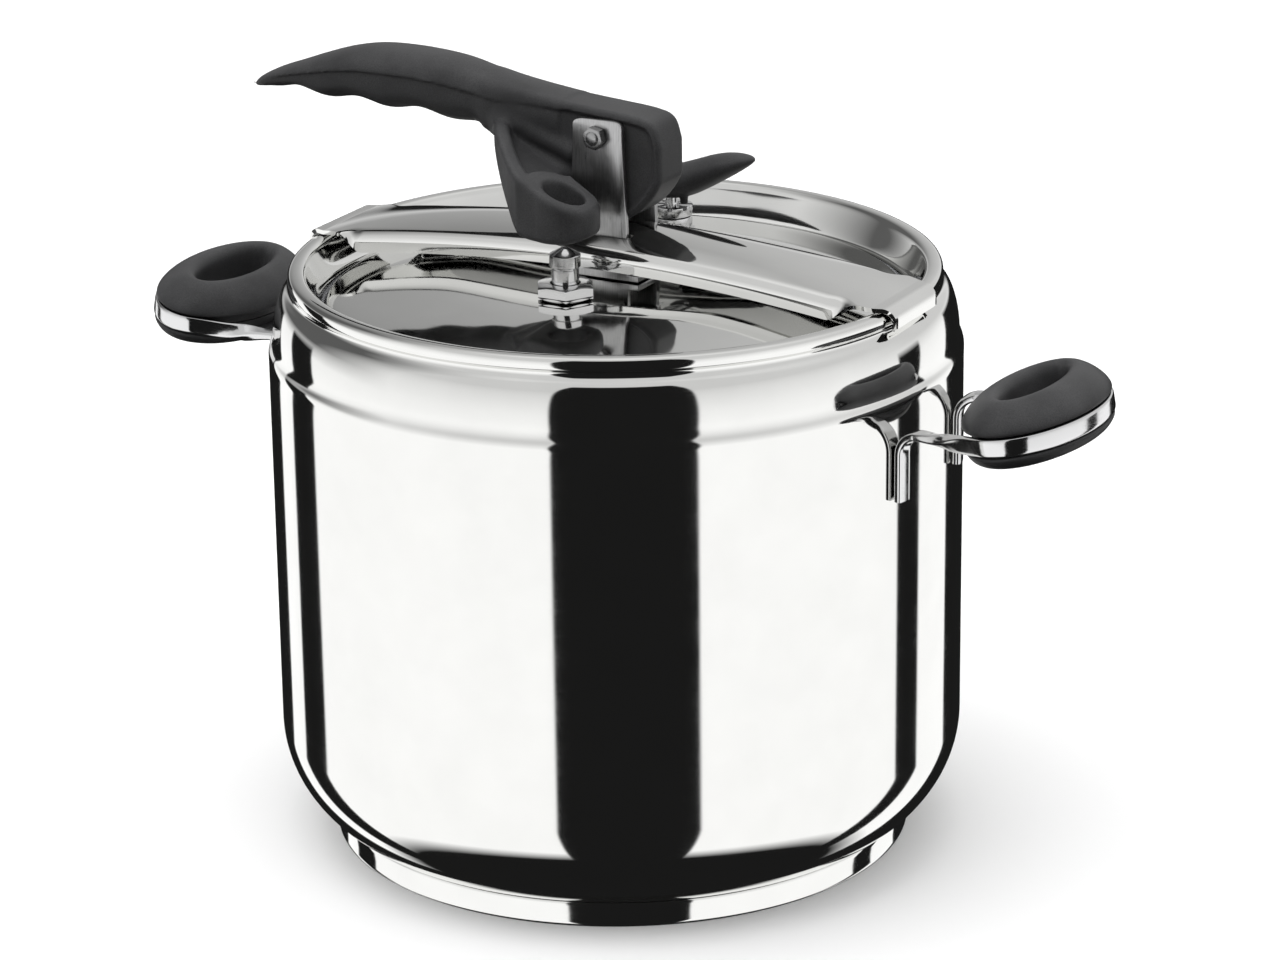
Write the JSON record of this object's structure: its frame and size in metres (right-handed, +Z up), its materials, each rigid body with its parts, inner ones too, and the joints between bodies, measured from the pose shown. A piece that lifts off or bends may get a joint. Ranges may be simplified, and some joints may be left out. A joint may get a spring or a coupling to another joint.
{
  "type": "stovetop pressure cooker",
  "caption": "Round steel pressure cooker with an inner lid drawn up under the rim by a bridge and camming lever, two side grips, a safety valve and a steam release valve.",
  "frame": {"origin": "middle of the underside of the base", "axes": "+Z up; +X along the side grips, bridge and lever, whose grip points to -X; safety valve on the -Y side, steam release valve on the +Y side"},
  "size_m": [0.3334, 0.22, 0.249],
  "materials": {
    "polished_steel": "mirror-polished stainless steel sheet",
    "plated_steel": "bright plated or polished steel",
    "brushed_steel": "satin stainless steel plate",
    "spring_steel": "drawn spring wire",
    "aluminium_core": "plain pressed aluminium, hidden in the base",
    "phenolic": "matte black phenolic resin moulding",
    "silicone": "moulded grey silicone"
  },
  "bodies": {
    "pot": {"pot_shell": "polished_steel", "base_core": "aluminium_core", "base_cap": "polished_steel", "bridge": "polished_steel", "handle_bracket_right": "plated_steel", "grip_upper_right": "phenolic", "grip_lower_right": "phenolic", "grip_screw_inner_right": "plated_steel", "grip_screw_outer_right": "plated_steel", "handle_bracket_left": "plated_steel", "grip_upper_left": "phenolic", "grip_lower_left": "phenolic", "grip_screw_inner_left": "plated_steel", "grip_screw_outer_left": "plated_steel"},
    "lid": {"lid_disc": "polished_steel", "lid_gasket": "silicone", "lever_yoke": "brushed_steel", "yoke_stud": "plated_steel", "yoke_washer": "plated_steel", "yoke_nut": "plated_steel", "pivot_bolt": "plated_steel", "pivot_nut": "plated_steel", "safety_valve_body": "plated_steel", "safety_valve_seal": "silicone", "safety_valve_nut": "plated_steel", "safety_valve_spring": "spring_steel", "vent_valve_body": "plated_steel", "vent_valve_seal": "silicone", "vent_valve_nut": "plated_steel", "vent_collar": "plated_steel", "vent_spring": "spring_steel"},
    "lever": {"lever_handle": "phenolic", "lever_bush": "plated_steel"},
    "safety_pin": {"safety_valve_pin": "plated_steel"},
    "vent_plunger": {"vent_stem": "plated_steel", "vent_pivot_pin": "plated_steel"},
    "vent_leaf": {"vent_lever": "phenolic"}
  },
  "joints": [
    {"name": "lever_pivot", "type": "hinge", "parent": "lid", "child": "lever", "pos_m": [0, 0, 0.2302], "axis": [0, 1, 0], "range_deg": [0, 95]},
    {"name": "lid_drop", "type": "slide", "parent": "pot", "child": "lid", "axis": [0, 0, -1], "range_m": [0, 0.0075]},
    {"name": "safety_pin_rise", "type": "slide", "parent": "lid", "child": "safety_pin", "axis": [0, 0, 1], "range_m": [0, 0.0022], "stiffness_N_per_m": 200, "springref_m": -0.005, "deforming": ["safety_valve_spring"]},
    {"name": "vent_stem_lift", "type": "slide", "parent": "lid", "child": "vent_plunger", "axis": [0, 0, 1], "range_m": [0, 0.001], "stiffness_N_per_m": 300, "springref_m": -0.004, "deforming": ["vent_spring"]},
    {"name": "vent_lever_tilt", "type": "hinge", "parent": "vent_plunger", "child": "vent_leaf", "pos_m": [0, 0.038, 0.201], "axis": [0, 1, 0], "range_deg": [0, 12]}
  ],
  "couplings": [
    {"joint": "lid_drop", "follows": "lever_pivot", "m_per_rad": 0.00452},
    {"joint": "vent_lever_tilt", "follows": "vent_stem_lift", "rad_per_m": 209.4}
  ]
}
